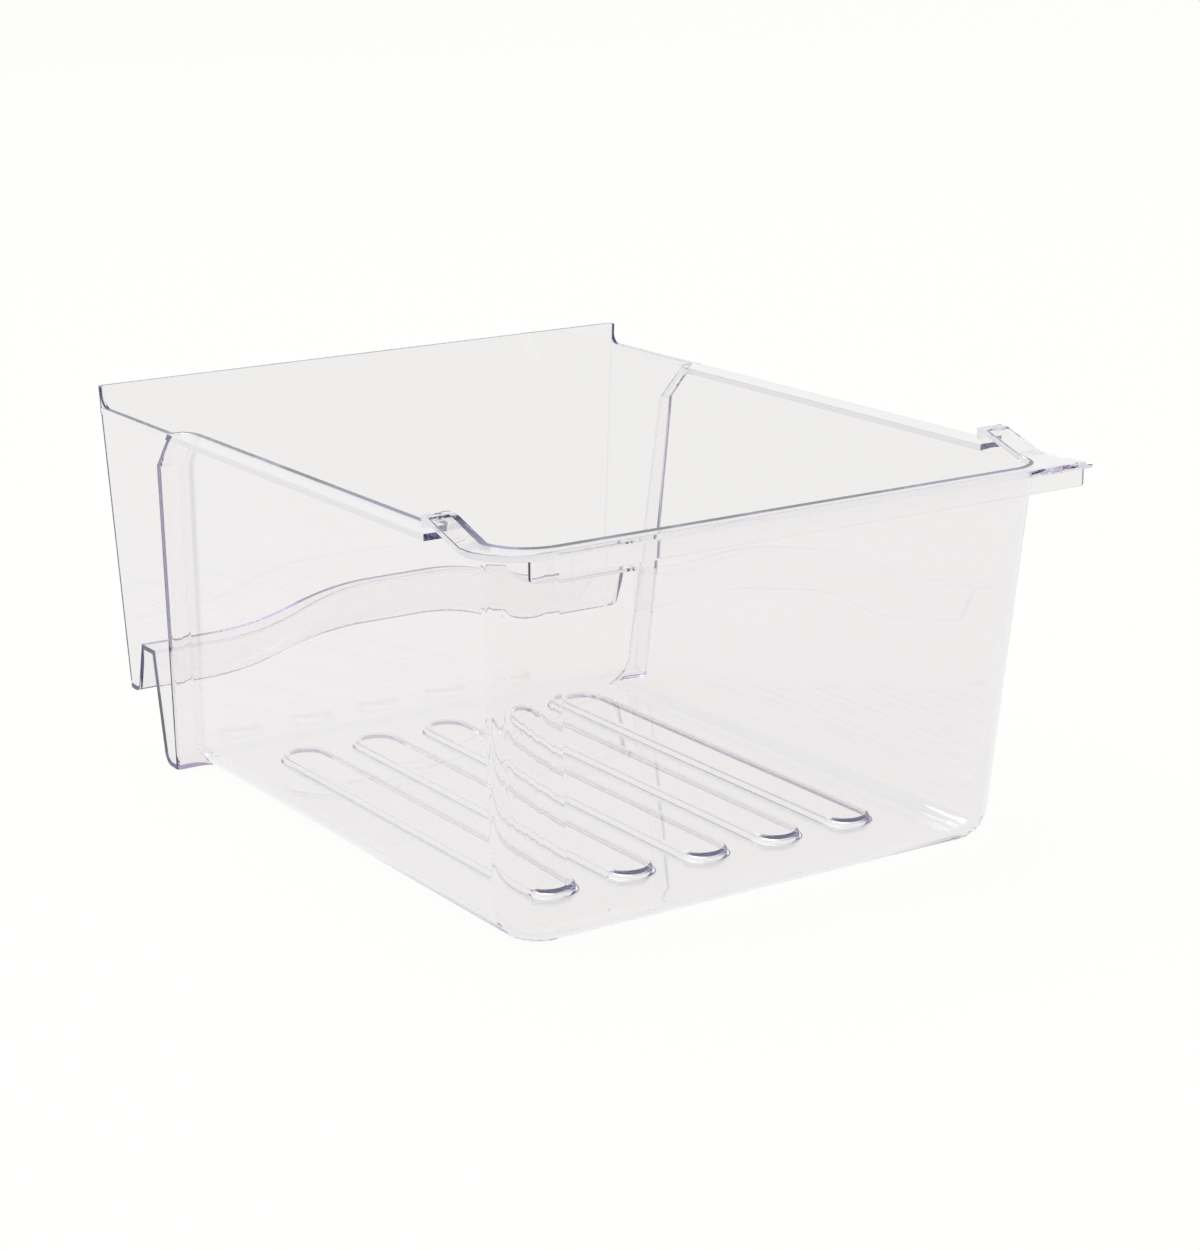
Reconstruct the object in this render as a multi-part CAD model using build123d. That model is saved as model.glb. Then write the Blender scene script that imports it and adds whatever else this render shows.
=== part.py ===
"""A clear fridge drawer, moulded in one piece.

The frame is in millimetres. X runs across the drawer, -Y is its front and +Z is up. The origin is on the
underside of the floor, on the centre plane, half way between the front edge and the back panel.
"""
from build123d import *
from math import atan, pi, tan
import os

# The moulding
wall = 2.5                      # walls and floor
drawer_depth = 444.0            # front edge of the rim to the outside of the back panel
rim_height = 206.5              # underside of the floor to the top of the rim
rim_thickness = 3.5             # rails and front flange

# The tray, measured outside
tray_half_width = 165.0         # at the rim
front_flange = 8.8              # how far the front flange stands out from the tray
floor_front_setback = 19.8      # front edge of the rim to the foot of the front wall
floor_inset_left = 9.5          # how far the foot of the left wall stands in from the rim
floor_inset_right = 19.0        # the same on the right
left_corner_radius = 27.0       # upright corners at the front
right_corner_radius = 24.0
floor_edge_radius = 20.0        # between the floor and the walls

# The wider back bay
bay_step = 11.0                 # how far the bay stands out from the tray at the rim
bay_draft = 0.054               # how fast the bay narrows towards its foot
bay_depth_rim = 97.7            # how far the bay reaches forward from the back panel: at the rim,
bay_depth_shoulder = 76.2       # below the shoulder
bay_depth_floor = 59.8          # and at the floor
shoulder_drop = 23.0            # rim to the foot of the shoulder
bay_back_radius = 4.0           # upright corners at the back panel
step_radius = 6.0               # hollow corners between the tray and the bay
panel_draft = 0.008             # lean of the back panel
panel_rise = 12.0               # back panel above the rim
post_depth = 5.0                # how far the raised corners reach forward along the sides
post_radius = 7.0

# The ridge and the gutter behind it
ridge_height = 68.5             # top of the ridge at its ends
ridge_depth = 44.2              # back panel to the foot of the ridge's front wall
ridge_front_draft = 0.061
ridge_foot_radius = 7.5
gutter_height = 37.0            # underside of the gutter at its ends
gutter_depth = 24.5             # back panel to the back face of the ridge, at the ridge's top
gutter_draft = 0.36             # lean of the ridge's back face
gutter_radius = 6.0
wave_rise = 19.0                # ridge and gutter both rise by this much in the middle
wave_inner = 20.0               # half length of the raised middle
wave_outer = 120.0              # where the wave runs out

# The rim
rail_overhang = 13.0            # outside of the tray to the outer edge of a rail
rail_back_overhang = 0.6        # outside of the bay to the same edge, at the back panel
rim_corner_radius = 27.0        # left front corner
wing_reach = 8.5                # how far the right front corner stands out beyond the rail
wing_root = 30.0                # front edge of the rim to the root of the wing
wing_end = 5.0                  # depth of the wing's blunt end
wing_chamfer = 2.0

# The strip that hangs under the front flange
strip_setback = 1.5
strip_thickness = 2.5
strip_drop = 9.7
strip_left_gap = 20.0           # left end of the strip, in from the edge of the rail
strip_right_reach = 2.0         # right end of the strip, out beyond the edge of the rail
strip_corner_radius = 2.0

# The ramped stops on the rails
stop_foot = 32.0                # front edge of the rim to where the ramp starts
stop_tail = 67.0                # front edge of the rim to the free back end
stop_flat = 7.0                 # length of the flat top
stop_rise = 9.0
stop_hook = 2.5                 # turned-down end of the tail
rail_gap = 2.0                  # tail of the stop to the cut end of the rail

# The ribs on the floor
rib_count = 5
rib_pitch = 47.5
rib_width = 30.0
rib_front_gap = 78.0            # front edge of the rim to the ribs
rib_back_gap = 76.0             # back panel to the ribs
rib_height = 4.0
rib_slope = 25.0                # degrees

# Places that follow from these sizes
front_edge = -drawer_depth / 2
back_face = drawer_depth / 2
panel_top = rim_height + panel_rise
rim_underside = rim_height - rim_thickness
shoulder_height = rim_height - shoulder_drop
bay_half_width = tray_half_width + bay_step
rail_half_width = tray_half_width + rail_overhang
tray_back = back_face - (ridge_depth + gutter_depth) / 2
bend_share = tan(pi / 8)        # part of an inset by which the shoulder's bend moves up
foot_lead = 1.05                # the ridge's cut starts before its foot rounding, by this share of it
reach = 1.5 * rail_half_width   # long enough to pass right through the drawer
clear_above = panel_top + rim_height


def outline(*corners):
    """A flat face with straight sides."""
    return make_face(Polyline(*corners, close=True))


def rounded(face, corner, radius):
    """A face with one corner rounded."""
    return fillet(face.vertices().sort_by_distance(corner)[0], radius)


def lean(foot, rim, height):
    """The place at one height of a wall that leans evenly from the floor to the rim."""
    return foot + (rim - foot) * height / rim_height


def along(face):
    """A block with one section, seen from the side, all across the drawer."""
    return extrude(Plane.YZ * face, amount=reach, both=True)


def lengthwise(face):
    """A block with one section, seen from the front, all along the drawer."""
    return extrude(Plane.XZ * face, amount=reach, both=True)


def upright(edge):
    """Whether an edge rises from the floor towards the rim."""
    return abs(edge.tangent_at(0.5).Z) > abs(edge.tangent_at(0.5).Y)


def tray(inset, top):
    """The tray as a solid block with round corners and a round foot, drawn in by an inset."""
    left = [inset - lean(tray_half_width - floor_inset_left, tray_half_width, z) for z in (inset, top)]
    right = [lean(tray_half_width - floor_inset_right, tray_half_width, z) - inset for z in (inset, top)]
    front = [front_edge + inset + lean(floor_front_setback, front_flange, z) for z in (inset, top)]
    seen_from_front = outline((left[0], inset), (right[0], inset), (right[1], top), (left[1], top))
    seen_from_side = outline((front[0], inset), (tray_back, inset), (tray_back, top), (front[1], top))
    block = lengthwise(seen_from_front) & along(seen_from_side)
    for side, radius in ((0, left_corner_radius), (-1, right_corner_radius)):
        corners = block.edges().filter_by(upright).group_by(Axis.X)[side]
        block = fillet(corners.sort_by(Axis.Y)[0], radius - inset)
    foot = block.edges().group_by(Axis.Z)[0].sort_by(Axis.Y)[:-1]
    return fillet(foot, floor_edge_radius - inset)


def bay(inset, top):
    """The back bay as a solid block, drawn in by an inset; its shoulder slopes forward to the top."""
    bend = shoulder_height + bend_share * inset
    slope = (bay_depth_rim - bay_depth_shoulder) / shoulder_drop
    back = [back_face - panel_draft * (panel_top - z) - inset for z in (inset, top)]
    half = [bay_half_width - bay_draft * (rim_height - z) - inset for z in (inset, top)]
    shoulder = back_face - bay_depth_shoulder + inset
    seen_from_side = outline(
        (back_face - bay_depth_floor + inset, inset),
        (shoulder, bend),
        (shoulder - slope * (top - bend), top),
        (back[1], top),
        (back[0], inset),
    )
    seen_from_front = outline((-half[0], inset), (half[0], inset), (half[1], top), (-half[1], top))
    block = lengthwise(seen_from_front) & along(seen_from_side)
    back_corners = block.edges().filter_by(upright).group_by(Axis.Y)[-1]
    return fillet(back_corners, bay_back_radius - inset)


def wave(base):
    """The wave seen from the front: level ends, and a raised middle joined by tangent arcs."""
    crest = base + wave_rise
    halfway = (-(wave_outer + wave_inner) / 2, base + wave_rise / 2)
    start = Line((-reach, base), (-wave_outer, base))
    hollow = TangentArc((-wave_outer, base), halfway, tangent=(1, 0))
    brow = TangentArc(halfway, (-wave_inner, crest), tangent=hollow % 1)
    middle = Line((-wave_inner, crest), (0, crest))
    left_half = Curve() + [start, hollow, brow, middle]
    return left_half + mirror(left_half, Plane.YZ)


def across(base, limit):
    """A block that fills the space between the wave and a level limit, all along the drawer."""
    sides = Polyline((-reach, base), (-reach, limit), (reach, limit), (reach, base))
    return lengthwise(make_face(wave(base).edges() + sides.edges()))


def behind_ridge(inset):
    """All that is behind the ridge's front wall, with the rounding at its foot."""
    foot = back_face - ridge_depth - inset
    radius = ridge_foot_radius - inset
    tangent = radius / tan((pi / 2 + atan(ridge_front_draft)) / 2)
    corner = (foot + ridge_front_draft * inset, inset)
    before = corner[0] - foot_lead * tangent
    top = (foot + ridge_front_draft * clear_above, clear_above)
    low = -rim_height
    face = outline((before, low), (before, inset), corner, top, (reach, clear_above), (reach, low))
    return along(rounded(face, corner, radius))


def gutter(inset):
    """The gutter between the ridge and the back panel, with its rounded bottom."""
    front = back_face - gutter_depth - wall + inset
    back = back_face - panel_draft * panel_top - inset
    front_foot = (front + gutter_draft * ridge_height, 0)
    front_top = (front + gutter_draft * (ridge_height - clear_above), clear_above)
    face = outline(front_foot, front_top, (back + panel_draft * clear_above, clear_above), (back, 0))
    trough = along(face) & across(gutter_height + inset, clear_above)
    long = trough.edges().filter_by(lambda edge: edge.bounding_box().size.X > wave_inner)
    bottom = long.filter_by(lambda edge: edge.center().Z < rim_height)
    return fillet(bottom, gutter_radius - inset)


def space_below(inset):
    """The space under the back bay: the channel inside the ridge, and all that is below the gutter."""
    channel = behind_ridge(inset) & across(ridge_height - wall + inset, -rim_height)
    return channel - gutter(inset)


def step_corners(block):
    """The hollow upright corners where the bay steps out from the tray."""

    def at_step(edge):
        depth = back_face - edge.vertices().sort_by(Axis.Z)[0].Y
        return upright(edge) and edge.is_interior and ridge_depth < depth < bay_depth_rim

    return block.edges().filter_by(GeomType.LINE).filter_by(at_step)


def pan(inset, tray_top, bay_top):
    """The tray and the bay in one, drawn in by an inset, without the space below the bay."""
    block = tray(inset, tray_top) + bay(inset, bay_top)
    block = fillet(step_corners(block), step_radius + inset)
    return block - space_below(inset)


def rail_plate():
    """The rails and the front flange as one plate, with the wing at its right front corner."""
    wing = rail_half_width + wing_reach
    back = bay_half_width + rail_back_overhang
    bay_start = back_face - bay_depth_rim
    end = back_face - wall / 2
    face = outline(
        (-back, end),
        (-rail_half_width, bay_start),
        (-rail_half_width, front_edge),
        (wing - wing_chamfer, front_edge),
        (wing, front_edge + wing_end),
        (rail_half_width, front_edge + wing_root),
        (rail_half_width, bay_start),
        (back, end),
    )
    face = rounded(face, (-rail_half_width, front_edge), rim_corner_radius)
    face = rounded(face, (-back, end), bay_back_radius)
    face = rounded(face, (back, end), bay_back_radius)
    return extrude(Pos(0, 0, rim_underside) * face, amount=rim_thickness)


def front_strip():
    """The strip that hangs under the front flange and runs on below the wing."""
    low = rim_underside - strip_drop
    left = -rail_half_width + strip_left_gap
    right = rail_half_width + strip_right_reach
    face = outline((left, low), (right, low), (right, rim_underside), (left, rim_underside))
    face = rounded(face, (right, low), strip_corner_radius)
    return extrude(Plane.XZ.offset(-front_edge - strip_setback) * face, amount=-strip_thickness)


def post_trim():
    """What is cut away above the rim, so that only the back panel and its corners stand up."""
    post = back_face - post_depth
    start = front_edge - reach
    face = outline((start, rim_height), (post, rim_height), (post, clear_above), (start, clear_above))
    return along(rounded(face, (post, rim_height), post_radius))


def stop(inner, outer):
    """A ramped stop on the right rail: its bent strip, and the web of tray wall below it."""
    tail = front_edge + stop_tail
    foot = front_edge + stop_foot
    crown = tail - stop_flat
    hook = tail - rim_thickness
    top = rim_height + stop_rise
    under = top - rim_thickness
    strip = outline(
        (tail, under - stop_hook),
        (tail, top),
        (crown, top),
        (foot, rim_height),
        (foot, rim_underside),
        (crown, under),
        (hook, under),
        (hook, under - stop_hook),
    )
    web = outline((tail - rail_gap, rim_underside), (hook, under), (crown, under), (foot, rim_underside))
    plane = Plane.YZ.offset(inner)
    return extrude(plane * strip, amount=outer - inner) + extrude(plane * web, amount=wall)


def rail_gap_cut():
    """The opening in the right rail under its stop."""
    length = stop_tail - rail_gap - stop_foot
    box = Box(rail_overhang, length, rim_thickness, align=(Align.MIN, Align.MIN, Align.MIN))
    return Pos(tray_half_width, front_edge + stop_foot, rim_underside) * box


def ribs(width, base):
    """The ribs of the floor side by side, with round ends and sloping sides."""
    front = front_edge + rib_front_gap
    back = back_face - rib_back_gap
    plan = Pos(0, (front + back) / 2) * Rot(0, 0, 90) * SlotOverall(back - front, width)
    rib = extrude(plan, amount=rib_height, taper=rib_slope)
    first = -(rib_count - 1) / 2 * rib_pitch
    return [Pos(first + number * rib_pitch, 0, base) * rib for number in range(rib_count)]


def both_sides(solid):
    """A solid and its mirror image."""
    return [solid, mirror(solid, Plane.YZ)]


def drawer():
    """The whole moulding."""
    body = pan(0, rim_height, panel_top) + rail_plate()
    body -= post_trim()
    body -= both_sides(rail_gap_cut())
    body -= pan(wall, clear_above, clear_above)
    body += front_strip()
    body += both_sides(stop(tray_half_width - wall, rail_half_width))
    body += ribs(rib_width, wall)
    body -= ribs(rib_width - 2 * wall, 0)
    return body


if __name__ == "__main__":
    os.makedirs("parts", exist_ok=True)
    export_step(drawer(), "parts/drawer.step")
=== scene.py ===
"""The looks of a clear moulded fridge drawer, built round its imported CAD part.

The drawer is one clear moulding, so the CAD solid itself is shown, with its edges eased as a mould
leaves them and a clear plastic finish. Round it stand a white sheet, soft lamps and the camera.
"""
from __future__ import annotations

import logging
import math
from dataclasses import dataclass
from enum import Enum

import bmesh
import bpy
from mathutils import Matrix, Vector

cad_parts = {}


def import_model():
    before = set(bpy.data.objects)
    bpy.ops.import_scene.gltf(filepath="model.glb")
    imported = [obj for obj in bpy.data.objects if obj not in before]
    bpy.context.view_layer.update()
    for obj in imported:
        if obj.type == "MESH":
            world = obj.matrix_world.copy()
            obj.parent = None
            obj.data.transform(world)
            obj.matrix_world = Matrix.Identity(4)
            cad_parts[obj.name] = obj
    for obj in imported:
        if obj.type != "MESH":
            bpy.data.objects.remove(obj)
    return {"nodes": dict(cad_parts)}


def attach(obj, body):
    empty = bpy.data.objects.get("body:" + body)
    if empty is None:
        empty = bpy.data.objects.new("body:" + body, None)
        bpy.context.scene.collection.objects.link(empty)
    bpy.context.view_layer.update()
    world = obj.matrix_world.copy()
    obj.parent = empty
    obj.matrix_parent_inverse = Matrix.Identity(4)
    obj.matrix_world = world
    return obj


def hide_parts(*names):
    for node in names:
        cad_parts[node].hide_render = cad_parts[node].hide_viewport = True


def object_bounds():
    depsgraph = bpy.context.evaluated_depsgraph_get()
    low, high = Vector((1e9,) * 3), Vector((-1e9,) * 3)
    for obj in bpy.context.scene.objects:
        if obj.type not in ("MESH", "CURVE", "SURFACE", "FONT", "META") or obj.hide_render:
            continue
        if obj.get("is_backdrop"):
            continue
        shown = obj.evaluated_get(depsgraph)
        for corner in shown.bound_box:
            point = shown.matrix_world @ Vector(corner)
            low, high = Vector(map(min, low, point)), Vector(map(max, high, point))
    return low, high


log = logging.getLogger("drawer")

Colour = tuple[float, float, float]
Span = tuple[float, float]


class Lamp(Enum):
    """The soft lamps of the studio."""

    SKY = "sky"
    SIDE = "side"


@dataclass(frozen=True)
class ClearPlastic:
    """Clear, glossy plastic with a faint violet body colour, as moulded.

    Attributes:
        index: Refractive index of the plastic.
        surface_tints: Colours that light takes at each face, between the flow marks and on them.
        depth_tint: Colour that light keeps on a long way through the plastic.
        depth_density: How fast the depth tint builds up, per metre.
        roughness: Roughness of the moulded faces.
        flow_size: Number of flow marks per metre.
        flow_depth: Height of the flow marks, in metres.
    """

    index: float = 1.56
    surface_tints: tuple[Colour, Colour] = ((0.997, 0.994, 0.987), (0.992, 0.989, 0.982))
    depth_tint: Colour = (0.3, 0.22, 0.56)
    depth_density: float = 8.0
    roughness: float = 0.0
    flow_size: float = 7.0
    flow_depth: float = 0.00002

    def material(self) -> bpy.types.Material:
        """Makes the finish.

        Returns:
            The material, with its flow marks and its colour in depth.
        """
        finish = bpy.data.materials.new("clear_plastic")
        finish.use_nodes = True
        nodes, links = finish.node_tree.nodes, finish.node_tree.links
        shader = nodes["Principled BSDF"]
        shader.inputs["Roughness"].default_value = self.roughness
        shader.inputs["Transmission Weight"].default_value = 1.0
        shader.inputs["IOR"].default_value = self.index

        place = nodes.new("ShaderNodeTexCoord")
        flow = nodes.new("ShaderNodeTexNoise")
        flow.inputs["Scale"].default_value = self.flow_size
        flow.inputs["Detail"].default_value = 0.0
        links.new(place.outputs["Object"], flow.inputs["Vector"])

        tint = nodes.new("ShaderNodeValToRGB")
        for stop, colour in zip(tint.color_ramp.elements, self.surface_tints):
            stop.color = (*colour, 1.0)
        links.new(flow.outputs["Fac"], tint.inputs["Fac"])
        links.new(tint.outputs["Color"], shader.inputs["Base Color"])

        marks = nodes.new("ShaderNodeBump")
        marks.inputs["Strength"].default_value = 1.0
        marks.inputs["Distance"].default_value = self.flow_depth
        links.new(flow.outputs["Fac"], marks.inputs["Height"])
        links.new(marks.outputs["Normal"], shader.inputs["Normal"])

        depth = nodes.new("ShaderNodeVolumeAbsorption")
        depth.inputs["Color"].default_value = (*self.depth_tint, 1.0)
        depth.inputs["Density"].default_value = self.depth_density
        links.new(depth.outputs["Volume"], nodes["Material Output"].inputs["Volume"])
        return finish


@dataclass(frozen=True)
class WhiteSheet:
    """The white paper that the drawer stands on.

    Attributes:
        paper: Colour of the paper under the lamps.
        glow: Brightness that the paper adds where the camera sees it, so that it comes out white.
        glow_mirrored: Brightness that it adds where it is mirrored in the plastic.
        glow_through: Brightness that it adds where it is seen through the plastic.
        glow_tint: Colour of that light.
        grain_size: Number of fibres of the paper's grain per metre.
        grain: Share by which the grain darkens the paper.
    """

    paper: float = 0.05
    glow: float = 0.963
    glow_mirrored: float = 1.0
    glow_through: float = 0.84
    glow_tint: Colour = (1.0, 0.995, 0.985)
    grain_size: float = 900.0
    grain: float = 0.02

    def material(self) -> bpy.types.Material:
        """Makes the finish.

        Returns:
            A matt white material that looks white from the camera and pale through the plastic.
        """
        finish = bpy.data.materials.new("white_sheet")
        finish.use_nodes = True
        nodes, links = finish.node_tree.nodes, finish.node_tree.links
        nodes.remove(nodes["Principled BSDF"])

        place = nodes.new("ShaderNodeTexCoord")
        grain = nodes.new("ShaderNodeTexNoise")
        grain.inputs["Scale"].default_value = self.grain_size
        grain.inputs["Detail"].default_value = 0.0
        links.new(place.outputs["Object"], grain.inputs["Vector"])
        tone = nodes.new("ShaderNodeMapRange")
        tone.inputs["To Min"].default_value = self.paper * (1.0 - self.grain)
        tone.inputs["To Max"].default_value = self.paper
        links.new(grain.outputs["Fac"], tone.inputs["Value"])
        matt = nodes.new("ShaderNodeBsdfDiffuse")
        links.new(tone.outputs["Result"], matt.inputs["Color"])

        path = nodes.new("ShaderNodeLightPath")
        straight = self.scaled(finish, path.outputs["Is Camera Ray"], self.glow)
        mirrored = self.scaled(finish, path.outputs["Is Glossy Ray"], self.glow_mirrored)
        strength = nodes.new("ShaderNodeMapRange")
        strength.inputs["To Max"].default_value = self.glow_through
        links.new(path.outputs["Is Transmission Ray"], strength.inputs["Value"])
        links.new(self.larger(finish, straight, mirrored), strength.inputs["To Min"])
        glow = nodes.new("ShaderNodeEmission")
        glow.inputs["Color"].default_value = (*self.glow_tint, 1.0)
        links.new(strength.outputs["Result"], glow.inputs["Strength"])

        both = nodes.new("ShaderNodeAddShader")
        links.new(matt.outputs["BSDF"], both.inputs[0])
        links.new(glow.outputs["Emission"], both.inputs[1])
        links.new(both.outputs["Shader"], nodes["Material Output"].inputs["Surface"])
        return finish

    @staticmethod
    def scaled(
        finish: bpy.types.Material, value: bpy.types.NodeSocket, share: float
    ) -> bpy.types.NodeSocket:
        """Multiplies a value by a share.

        Args:
            finish: The material that the value is in.
            value: The value.
            share: What it is multiplied by.

        Returns:
            The product.
        """
        product = finish.node_tree.nodes.new("ShaderNodeMath")
        product.operation = "MULTIPLY"
        product.inputs[1].default_value = share
        finish.node_tree.links.new(value, product.inputs[0])
        return product.outputs["Value"]

    @staticmethod
    def larger(
        finish: bpy.types.Material, first: bpy.types.NodeSocket, second: bpy.types.NodeSocket
    ) -> bpy.types.NodeSocket:
        """Takes the larger of two values.

        Args:
            finish: The material that the values are in.
            first: One value.
            second: The other value.

        Returns:
            The larger one.
        """
        larger = finish.node_tree.nodes.new("ShaderNodeMath")
        larger.operation = "MAXIMUM"
        finish.node_tree.links.new(first, larger.inputs[0])
        finish.node_tree.links.new(second, larger.inputs[1])
        return larger.outputs["Value"]


@dataclass(frozen=True)
class Ease:
    """How the mould leaves sharp edges of one kind.

    Attributes:
        radius: Radius of the edge, in metres.
        room: Length that the edges that meet it must have, in metres, or it stays sharp.
        meeting: Most sharp edges that may meet at one of its ends.
    """

    radius: float
    room: float
    meeting: int


class EdgeKind(Enum):
    """The kinds of edge that the mould leaves round, in the order in which they are eased."""

    STEP = Ease(0.0024, 0.0029, 3)
    RIB = Ease(0.0012, 0.0012, 2)
    STRIP = Ease(0.0007, 0.0, 3)
    RIM = Ease(0.0005, 0.0011, 2)


@dataclass
class DrawerMoulding:
    """The drawer itself, one clear moulding.

    Attributes:
        node: Name of its CAD node.
        slot: Name of a slot for its finish; not used.
        weld: Distance below which the corners of neighbouring faces are one, in metres.
        flat: Largest angle between facets of one flat face, in degrees.
        edge_angle: Smallest angle of a sharp edge, in degrees.
        edge_steps: Facets across an eased edge.
        edge_profile: Form of an eased edge; a half makes it round.
        rib_heights: Heights between which the edges of the floor's ribs lie, in metres.
        rib_end: How far behind the middle all of the ribs stay, in metres.
        step_places: How far behind the middle the steps of the bay begin and end, in metres.
        strip_heights: Heights between which the edges of the hanging strip start, in metres.
        strip_back: How far behind the middle the back of that strip is, in metres.
        rim_low: Height above which all edges belong to the rim, in metres.
        stop_places: How far behind the middle the stops begin and end, in metres.
        stop_inside: Half the width within which the edges beside the stops stay sharp, in metres.
        plastic: Its finish.
    """

    node: str = "drawer"
    slot: str = "clear_plastic"
    weld: float = 0.000002
    flat: float = 0.2
    edge_angle: float = 32.0
    edge_steps: int = 5
    edge_profile: float = 0.5
    rib_heights: Span = (0.0005, 0.0075)
    rib_end: float = 0.15
    step_places: Span = (0.12, 0.168)
    strip_heights: Span = (0.19, 0.2029)
    strip_back: float = -0.2175
    rim_low: float = 0.2
    stop_places: Span = (-0.199, -0.15)
    stop_inside: float = 0.164
    plastic: ClearPlastic = ClearPlastic()

    def kind(self, edge: bmesh.types.BMEdge) -> EdgeKind | None:
        """Tells what kind of edge one sharp edge is.

        Args:
            edge: An edge of the skin.

        Returns:
            Its kind, or None where the mould leaves it sharp.
        """
        low, high = sorted((corner.co for corner in edge.verts), key=lambda place: place.z)
        middle = (low + high) / 2
        back = max(low.y, high.y)
        upright = high.z - low.z > max(abs(high.y - low.y), abs(high.x - low.x))
        if self.rib_heights[0] < low.z and high.z < self.rib_heights[1] and back < self.rib_end:
            return EdgeKind.RIB
        if upright and edge.is_convex and self.step_places[0] < low.y < self.step_places[1]:
            return EdgeKind.STEP
        if back < self.strip_back and self.strip_heights[0] < low.z < self.strip_heights[1]:
            return EdgeKind.STRIP
        at_stop = self.stop_places[0] < middle.y < self.stop_places[1]
        if at_stop and abs(middle.x) < self.stop_inside:
            return None
        return EdgeKind.RIM if low.z > self.rim_low else None

    @staticmethod
    def has_room(edge: bmesh.types.BMEdge, sharp: set[bmesh.types.BMEdge], ease: Ease) -> bool:
        """Tells whether there is room to ease one sharp edge.

        Args:
            edge: A sharp edge of the skin.
            sharp: All of its sharp edges.
            ease: How edges of its kind are left.

        Returns:
            True where the edges that meet it are few and long enough.
        """
        meeting = max(sum(other in sharp for other in end.link_edges) for end in edge.verts)
        shortest = min(other.calc_length() for end in edge.verts for other in end.link_edges)
        return meeting <= ease.meeting and shortest > ease.room

    def ease(self, skin: bmesh.types.BMesh, kind: EdgeKind) -> None:
        """Rounds all sharp edges of one kind that have room for it.

        Args:
            skin: The drawer's skin.
            kind: The kind of edge.
        """
        limit = math.radians(self.edge_angle)
        sharp = {edge for edge in skin.edges if edge.calc_face_angle(0.0) > limit}
        alike = [edge for edge in skin.edges if edge in sharp and self.kind(edge) is kind]
        bmesh.ops.bevel(
            skin,
            geom=[edge for edge in alike if self.has_room(edge, sharp, kind.value)],
            affect="EDGES",
            offset_type="OFFSET",
            offset=kind.value.radius,
            segments=self.edge_steps,
            profile=self.edge_profile,
            clamp_overlap=False,
        )

    def shape(self, solid: bpy.types.Object) -> bpy.types.Mesh:
        """Joins the CAD solid's faces into one smooth skin and eases its edges.

        Args:
            solid: The CAD node's object.

        Returns:
            A mesh of the same form, with no doubled corners.
        """
        skin = bmesh.new()
        skin.from_mesh(solid.data)
        bmesh.ops.remove_doubles(skin, verts=skin.verts, dist=self.weld)
        bmesh.ops.dissolve_limit(
            skin, angle_limit=math.radians(self.flat), verts=skin.verts, edges=skin.edges
        )
        for kind in EdgeKind:
            self.ease(skin, kind)
        bmesh.ops.remove_doubles(skin, verts=skin.verts, dist=self.weld)
        limit = math.radians(self.edge_angle)
        for face in skin.faces:
            face.smooth = True
        for edge in skin.edges:
            edge.smooth = edge.calc_face_angle(0.0) < limit
        mesh = bpy.data.meshes.new("clear_drawer")
        skin.to_mesh(mesh)
        skin.free()
        return mesh

    def build(self, solid: bpy.types.Object) -> bpy.types.Object:
        """Builds the shown drawer in the place of the CAD solid.

        Args:
            solid: The CAD node's object.

        Returns:
            The shown drawer.
        """
        drawer = bpy.data.objects.new("clear_drawer", self.shape(solid))
        bpy.context.collection.objects.link(drawer)
        drawer.data.materials.append(self.plastic.material())
        shading = drawer.modifiers.new("even_shading", "WEIGHTED_NORMAL")
        shading.keep_sharp = True
        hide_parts(self.node)
        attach(drawer, "root")
        return drawer


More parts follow.
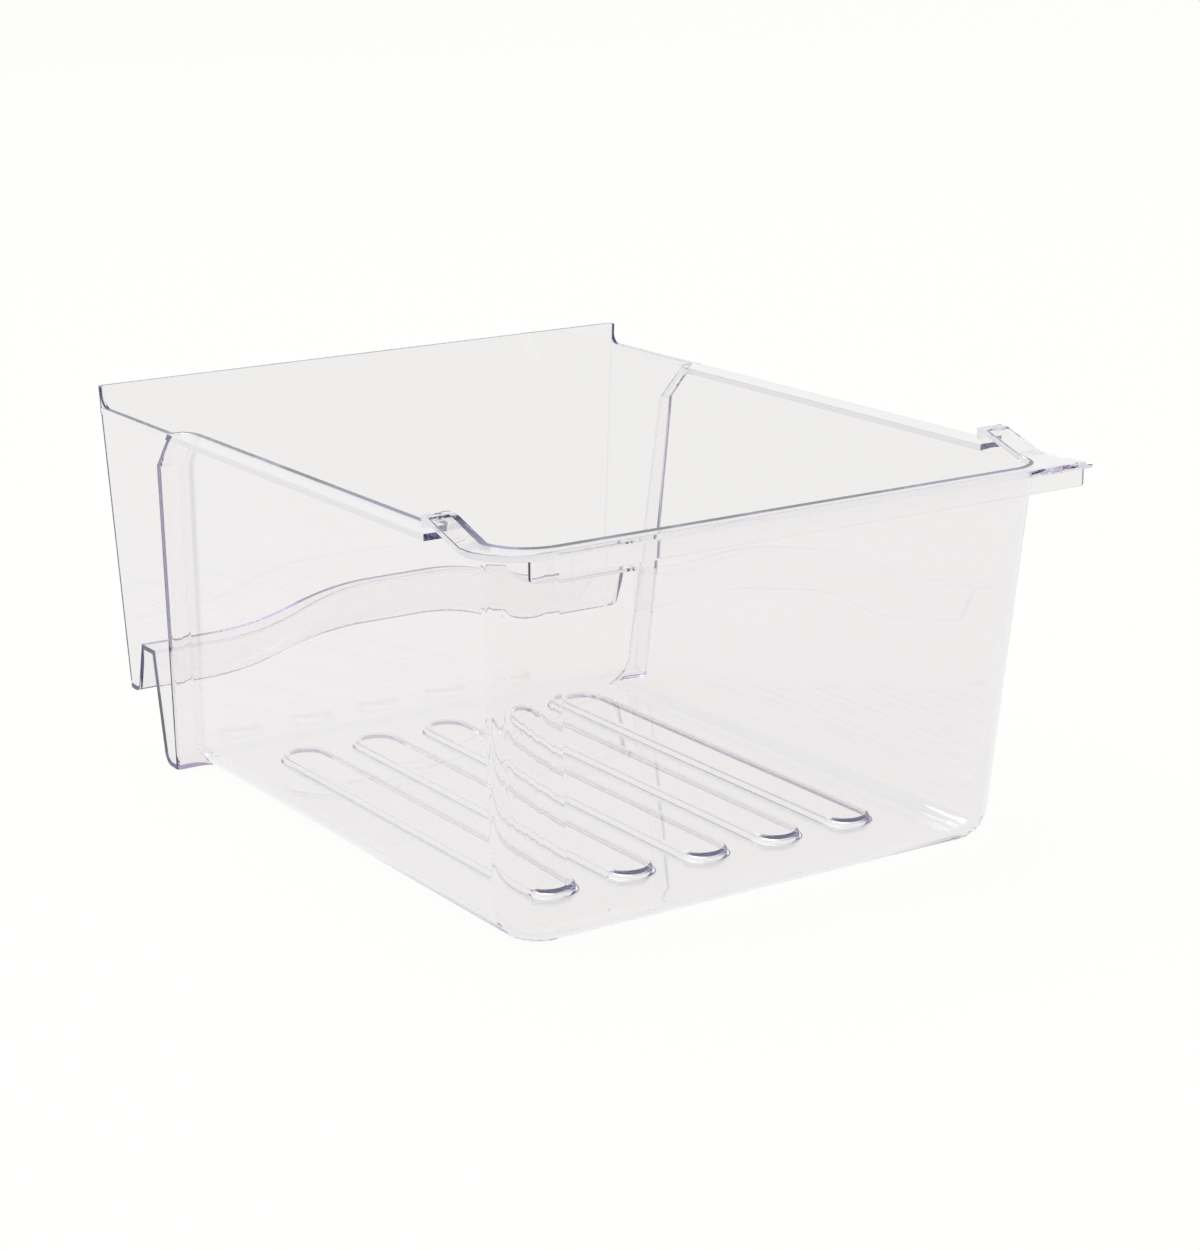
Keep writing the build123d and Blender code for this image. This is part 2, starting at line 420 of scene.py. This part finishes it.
@dataclass
class Studio:
    """The white sheet, the lamps and the light of the room.

    Attributes:
        sheet_flat: Radius of the flat part of the round sheet, in metres.
        sheet_bend: Radius with which the sheet turns up all round, in metres.
        sheet_top: Height of its upright edge, in metres.
        sheet_sides: Facets round the sheet.
        sheet_steps: Facets over the bend.
        sheet_gap: How far the sheet lies below the drawer, in metres.
        room: Colour of the room's light.
        room_strength: Brightness of the room.
        sky_strength: Strength of the even light from above.
        sky_spread: Width of that light, in degrees.
        sky_lean: How far it comes from the side, in degrees.
        side_size: Width of the soft lamp at the side, in metres.
        side_place: Where that lamp hangs, from the middle of the drawer, in metres.
        side_power: Power of that lamp, in watts.
        turns_followed: How often light is followed from face to face inside the clear walls.
        sheet: Finish of the sheet.
    """

    sheet_flat: float = 5.0
    sheet_bend: float = 2.0
    sheet_top: float = 5.0
    sheet_sides: int = 96
    sheet_steps: int = 12
    sheet_gap: float = 0.0005
    room: Colour = (0.95, 0.93, 1.0)
    room_strength: float = 0.65
    sky_strength: float = 1.4
    sky_spread: float = 50.0
    sky_lean: float = 22.0
    side_size: float = 1.2
    side_place: tuple[float, float, float] = (-1.9, 0.2, 0.9)
    side_power: float = 6.0
    turns_followed: int = 96
    sheet: WhiteSheet = WhiteSheet()

    def lay_sheet(self) -> bpy.types.Object:
        """Lays the round sheet under the drawer and turns it up all round.

        Returns:
            The sheet.
        """
        flat, bend = self.sheet_flat, self.sheet_bend
        turns = [math.pi / 2 * step / self.sheet_steps for step in range(self.sheet_steps + 1)]
        rings = [(flat + bend * math.sin(turn), bend * (1.0 - math.cos(turn))) for turn in turns]
        rings.append((flat + bend, self.sheet_top))
        around = [math.tau * side / self.sheet_sides for side in range(self.sheet_sides)]
        corners = [
            (radius * math.cos(way), radius * math.sin(way), height - self.sheet_gap)
            for radius, height in rings
            for way in around
        ]
        faces = [tuple(range(self.sheet_sides))]
        for ring in range(len(rings) - 1):
            low = ring * self.sheet_sides
            high = low + self.sheet_sides
            for side in range(self.sheet_sides):
                after = (side + 1) % self.sheet_sides
                faces.append((low + side, high + side, high + after, low + after))
        mesh = bpy.data.meshes.new("sheet")
        mesh.from_pydata(corners, [], faces)
        mesh.shade_smooth()
        sheet = bpy.data.objects.new("sheet", mesh)
        sheet.data.materials.append(self.sheet.material())
        bpy.context.collection.objects.link(sheet)
        sheet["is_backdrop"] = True
        return sheet

    def follow_light(self) -> None:
        """Follows light through the clear walls until it comes out again."""
        paths = bpy.context.scene.cycles
        paths.max_bounces = self.turns_followed
        paths.transmission_bounces = self.turns_followed
        paths.glossy_bounces = self.turns_followed

    def light_room(self) -> None:
        """Fills the room with even light."""
        world = bpy.data.worlds.new("room")
        world.use_nodes = True
        background = world.node_tree.nodes["Background"]
        background.inputs["Color"].default_value = (*self.room, 1.0)
        background.inputs["Strength"].default_value = self.room_strength
        bpy.context.scene.world = world

    def hang_sky(self) -> bpy.types.Object:
        """Hangs the wide even light above the sheet.

        Returns:
            The light.
        """
        light = bpy.data.lights.new(Lamp.SKY.value, "SUN")
        light.energy = self.sky_strength
        light.angle = math.radians(self.sky_spread)
        hung = bpy.data.objects.new(Lamp.SKY.value, light)
        hung.rotation_euler = (math.radians(-self.sky_lean), math.radians(-self.sky_lean / 2), 0.0)
        bpy.context.collection.objects.link(hung)
        return hung

    def hang_side(self, middle: Vector) -> bpy.types.Object:
        """Hangs the soft lamp at the side.

        Args:
            middle: The middle of the drawer, which the lamp faces.

        Returns:
            The lamp.
        """
        light = bpy.data.lights.new(Lamp.SIDE.value, "AREA")
        light.energy = self.side_power
        light.size = self.side_size
        hung = bpy.data.objects.new(Lamp.SIDE.value, light)
        hung.location = middle + Vector(self.side_place)
        hung.rotation_euler = (middle - hung.location).to_track_quat("-Z", "Y").to_euler()
        bpy.context.collection.objects.link(hung)
        return hung


@dataclass
class PhotoCamera:
    """A camera that stands where the photograph was taken from.

    Attributes:
        place: Where it stands, in metres.
        yaw: How far it is turned from +Y towards +X, in degrees.
        pitch: How far it looks down, in degrees.
        roll: How far it leans over, in degrees.
        lens: Focal length, in millimetres.
    """

    place: tuple[float, float, float] = (-0.8542, -1.3537, 0.5427)
    yaw: float = 32.93
    pitch: float = 15.55
    roll: float = 0.68
    lens: float = 86.05

    def stand(self) -> bpy.types.Object:
        """Sets the camera up.

        Returns:
            The camera.
        """
        yaw, pitch, roll = (math.radians(angle) for angle in (self.yaw, self.pitch, self.roll))
        along = Vector((math.sin(yaw), math.cos(yaw), 0.0))
        level = Vector((math.cos(yaw), -math.sin(yaw), 0.0))
        ahead = math.cos(pitch) * along - math.sin(pitch) * Vector((0.0, 0.0, 1.0))
        below = ahead.cross(level)
        right = math.cos(roll) * level + math.sin(roll) * below
        up = math.sin(roll) * level - math.cos(roll) * below
        camera = bpy.data.objects.new("camera", bpy.data.cameras.new("camera"))
        camera.data.lens = self.lens
        turn = Matrix((right, up, -ahead)).transposed().to_4x4()
        camera.matrix_world = Matrix.Translation(self.place) @ turn
        bpy.context.collection.objects.link(camera)
        bpy.context.scene.camera = camera
        return camera


def main() -> None:
    """Builds the drawer's looks and its studio."""
    logging.basicConfig(level=logging.INFO, format="%(name)s: %(message)s")
    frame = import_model()
    cad_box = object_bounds()
    bpy.context.scene.view_settings.view_transform = "Standard"

    moulding = DrawerMoulding()
    shown = moulding.build(frame["nodes"][moulding.node])
    log.info("%s built, %d faces", shown.name, len(shown.data.polygons))

    studio = Studio()
    log.info("%s laid", studio.lay_sheet().name)
    studio.light_room()
    studio.follow_light()
    log.info("%s light hung", studio.hang_sky().name)
    log.info("%s lamp hung", studio.hang_side((cad_box[0] + cad_box[1]) / 2).name)
    log.info("%s stands", PhotoCamera().stand().name)


if __name__ == "__main__":
    main()
